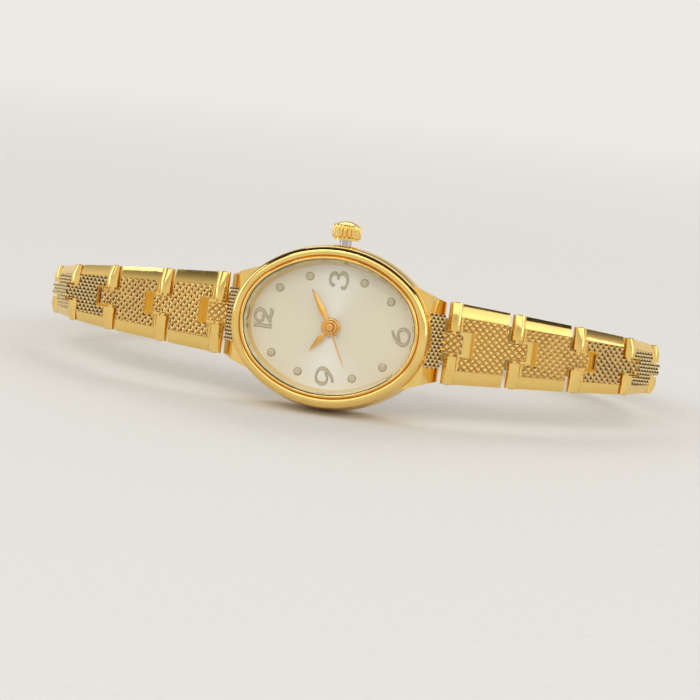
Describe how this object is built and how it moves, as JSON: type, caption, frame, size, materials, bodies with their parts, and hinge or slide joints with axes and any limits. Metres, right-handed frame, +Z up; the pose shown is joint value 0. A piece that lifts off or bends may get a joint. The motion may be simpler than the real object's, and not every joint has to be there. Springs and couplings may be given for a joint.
{
  "type": "bracelet watch",
  "caption": "Small oval bracelet watch in polished gold-coloured metal, with a cream dial, tapering hinged links and a slide clasp.",
  "frame": {"origin": "middle of the bounding box at its lowest point, where the nine o'clock flank and the clasp stand", "axes": "+X from twelve towards six o'clock, -Y out of the dial, +Z up, from nine towards three o'clock, leaning back 8.9 degrees"},
  "size_m": [0.074, 0.0474, 0.0212],
  "materials": {
    "gold": "polished",
    "crystal": "polished",
    "gasket": "matte",
    "steel": "satin",
    "dial": "satin",
    "nickel": "satin",
    "holder": "matte",
    "copper": "satin",
    "soft_iron": "satin",
    "board": "satin",
    "can": "polished",
    "rotor": "satin",
    "brass": "satin"
  },
  "bodies": {
    "head": {"case_body": "gold", "bezel": "gold", "crystal": "crystal", "crystal_gasket": "gasket", "case_back": "steel", "case_back_gasket": "gasket", "crown_tube": "steel", "dial": "dial", "hour_dots": "gold", "main_plate": "nickel", "train_bridge": "nickel", "movement_screws": "steel", "movement_holder": "holder", "coil_block": "copper", "stator": "soft_iron", "circuit_board": "board", "quartz_resonator": "can", "battery": "can", "battery_clamp": "steel", "setting_post": "steel"},
    "seconds_set": {"second_wheel": "brass", "second_hand": "gold"},
    "fifth_set": {"fifth_wheel": "brass"},
    "rotor_set": {"rotor": "rotor"},
    "third_set": {"third_wheel": "brass"},
    "minutes_set": {"center_wheel": "brass", "minute_hand": "gold"},
    "minute_wheel_set": {"minute_wheel": "brass"},
    "hours_set": {"hour_wheel": "brass", "hour_hand": "gold"},
    "clutch": {"clutch_wheel": "steel"},
    "crown_and_stem": {"crown": "gold", "stem": "steel"},
    "lever": {"setting_lever": "steel"},
    "right_link_1_body": {"right_link_1": "gold"},
    "right_link_2_body": {"right_link_2": "gold"},
    "right_link_3_body": {"right_link_3": "gold"},
    "right_link_4_body": {"right_link_4": "gold"},
    "right_link_5_body": {"right_link_5": "gold"},
    "right_link_6_body": {"right_link_6": "gold"},
    "right_link_7_body": {"right_link_7": "gold"},
    "right_link_8_body": {"right_link_8": "gold"},
    "clasp_frame_body": {"clasp_frame": "gold"},
    "left_link_1_body": {"left_link_1": "gold"},
    "left_link_2_body": {"left_link_2": "gold"},
    "left_link_3_body": {"left_link_3": "gold"},
    "left_link_4_body": {"left_link_4": "gold"},
    "left_link_5_body": {"left_link_5": "gold"},
    "left_link_6_body": {"left_link_6": "gold"},
    "left_link_7_body": {"left_link_7": "gold"},
    "left_link_8_body": {"left_link_8": "gold"},
    "clasp_tongue_body": {"clasp_tongue": "gold"},
    "clasp_lever_body": {"clasp_lever": "gold"}
  },
  "joints": [
    {"name": "seconds_turn", "type": "hinge", "parent": "head", "child": "seconds_set", "pos_m": [0.00071, -0.01752, 0.00913], "axis": [0, 0.988, -0.1545], "continuous": true},
    {"name": "fifth_turn", "type": "hinge", "parent": "head", "child": "fifth_set", "pos_m": [0.00249, -0.01831, 0.00957], "axis": [0, 0.988, -0.1545], "continuous": true},
    {"name": "rotor_turn", "type": "hinge", "parent": "head", "child": "rotor_set", "pos_m": [0.00382, -0.01736, 0.00986], "axis": [0, 0.988, -0.1545], "continuous": true},
    {"name": "third_turn", "type": "hinge", "parent": "head", "child": "third_set", "pos_m": [0.00127, -0.01829, 0.00716], "axis": [0, 0.988, -0.1545], "continuous": true},
    {"name": "minutes_turn", "type": "hinge", "parent": "head", "child": "minutes_set", "pos_m": [0.00071, -0.01881, 0.00933], "axis": [0, 0.988, -0.1545], "continuous": true},
    {"name": "minute_wheel_turn", "type": "hinge", "parent": "head", "child": "minute_wheel_set", "pos_m": [0.00262, -0.01952, 0.00833], "axis": [0, 0.988, -0.1545], "continuous": true},
    {"name": "hours_turn", "type": "hinge", "parent": "head", "child": "hours_set", "pos_m": [0.00071, -0.01958, 0.00945], "axis": [0, 0.988, -0.1545], "continuous": true},
    {"name": "crown_turn", "type": "hinge", "parent": "head", "child": "clutch", "pos_m": [0.00071, -0.01751, 0.01277], "axis": [0, 0.1545, 0.988], "continuous": true},
    {"name": "crown_pull", "type": "slide", "parent": "clutch", "child": "crown_and_stem", "axis": [0, 0.1545, 0.988], "range_m": [-0.0005, 0]},
    {"name": "setting_lever_swing", "type": "hinge", "parent": "head", "child": "lever", "pos_m": [-0.00119, -0.01779, 0.01423], "axis": [0, -0.988, 0.1545], "range_deg": [-15.5, 0]},
    {"name": "right_hinge_1", "type": "hinge", "parent": "head", "child": "right_link_1_body", "pos_m": [0.01411, -0.01757, 0.00914], "axis": [0, -0.1545, -0.988], "range_deg": [0, 22]},
    {"name": "right_hinge_2", "type": "hinge", "parent": "right_link_1_body", "child": "right_link_2_body", "pos_m": [0.02109, -0.01546, 0.00881], "axis": [0, -0.1545, -0.988], "range_deg": [0, 10]},
    {"name": "right_hinge_3", "type": "hinge", "parent": "right_link_2_body", "child": "right_link_3_body", "pos_m": [0.02786, -0.01276, 0.00839], "axis": [0, -0.1545, -0.988], "range_deg": [0, 24]},
    {"name": "right_hinge_4", "type": "hinge", "parent": "right_link_3_body", "child": "right_link_4_body", "pos_m": [0.03337, -0.00803, 0.00765], "axis": [0, -0.1545, -0.988], "range_deg": [0, 33]},
    {"name": "right_hinge_5", "type": "hinge", "parent": "right_link_4_body", "child": "right_link_5_body", "pos_m": [0.03599, -0.0013, 0.00659], "axis": [0, -0.1545, -0.988], "range_deg": [0, 31]},
    {"name": "right_hinge_6", "type": "hinge", "parent": "right_link_5_body", "child": "right_link_6_body", "pos_m": [0.03535, 0.00589, 0.00547], "axis": [0, -0.1545, -0.988], "range_deg": [-8, 29]},
    {"name": "right_hinge_7", "type": "hinge", "parent": "right_link_6_body", "child": "right_link_7_body", "pos_m": [0.03181, 0.0122, 0.00448], "axis": [0, -0.1545, -0.988], "range_deg": [-8, 27]},
    {"name": "right_hinge_8", "type": "hinge", "parent": "right_link_7_body", "child": "right_link_8_body", "pos_m": [0.02614, 0.01673, 0.00377], "axis": [0, -0.1545, -0.988], "range_deg": [-8, 23]},
    {"name": "clasp_frame_hinge", "type": "hinge", "parent": "right_link_8_body", "child": "clasp_frame_body", "pos_m": [0.01933, 0.01932, 0.00337], "axis": [0, -0.1545, -0.988], "range_deg": [-8, 17]},
    {"name": "left_hinge_1", "type": "hinge", "parent": "head", "child": "left_link_1_body", "pos_m": [-0.01269, -0.01757, 0.00914], "axis": [0, 0.1545, 0.988], "range_deg": [0, 23]},
    {"name": "left_hinge_2", "type": "hinge", "parent": "left_link_1_body", "child": "left_link_2_body", "pos_m": [-0.01963, -0.01534, 0.00879], "axis": [0, 0.1545, 0.988], "range_deg": [0, 7]},
    {"name": "left_hinge_3", "type": "hinge", "parent": "left_link_2_body", "child": "left_link_3_body", "pos_m": [-0.02649, -0.01288, 0.0084], "axis": [0, 0.1545, 0.988], "range_deg": [0, 25]},
    {"name": "left_hinge_4", "type": "hinge", "parent": "left_link_3_body", "child": "left_link_4_body", "pos_m": [-0.03208, -0.00824, 0.00768], "axis": [0, 0.1545, 0.988], "range_deg": [0, 24]},
    {"name": "left_hinge_5", "type": "hinge", "parent": "left_link_4_body", "child": "left_link_5_body", "pos_m": [-0.03584, -0.00206, 0.00671], "axis": [0, 0.1545, 0.988], "range_deg": [0, 35]},
    {"name": "left_hinge_6", "type": "hinge", "parent": "left_link_5_body", "child": "left_link_6_body", "pos_m": [-0.03597, 0.00515, 0.00558], "axis": [0, 0.1545, 0.988], "range_deg": [-8, 32]},
    {"name": "left_hinge_7", "type": "hinge", "parent": "left_link_6_body", "child": "left_link_7_body", "pos_m": [-0.03277, 0.01163, 0.00457], "axis": [0, 0.1545, 0.988], "range_deg": [-8, 29]},
    {"name": "left_hinge_8", "type": "hinge", "parent": "left_link_7_body", "child": "left_link_8_body", "pos_m": [-0.02718, 0.01627, 0.00385], "axis": [0, 0.1545, 0.988], "range_deg": [-8, 25]},
    {"name": "clasp_tongue_hinge", "type": "hinge", "parent": "left_link_8_body", "child": "clasp_tongue_body", "pos_m": [-0.02032, 0.01874, 0.00346], "axis": [0, 0.1545, 0.988], "range_deg": [-8, 15]},
    {"name": "clasp_lever_hinge", "type": "hinge", "parent": "clasp_frame_body", "child": "clasp_lever_body", "pos_m": [0.01523, 0.02031, 0.00321], "axis": [0, -0.1545, -0.988], "range_deg": [0, 130]}
  ],
  "couplings": [
    {"joint": "fifth_turn", "follows": "seconds_turn", "ratio": -5},
    {"joint": "rotor_turn", "follows": "seconds_turn", "ratio": 30},
    {"joint": "third_turn", "follows": "seconds_turn", "ratio": -0.13333},
    {"joint": "minutes_turn", "follows": "seconds_turn", "ratio": 0.016667},
    {"joint": "minute_wheel_turn", "follows": "seconds_turn", "ratio": -0.0055556},
    {"joint": "hours_turn", "follows": "seconds_turn", "ratio": 0.0013889},
    {"joint": "setting_lever_swing", "follows": "crown_pull", "rad_per_m": 526.32}
  ]
}
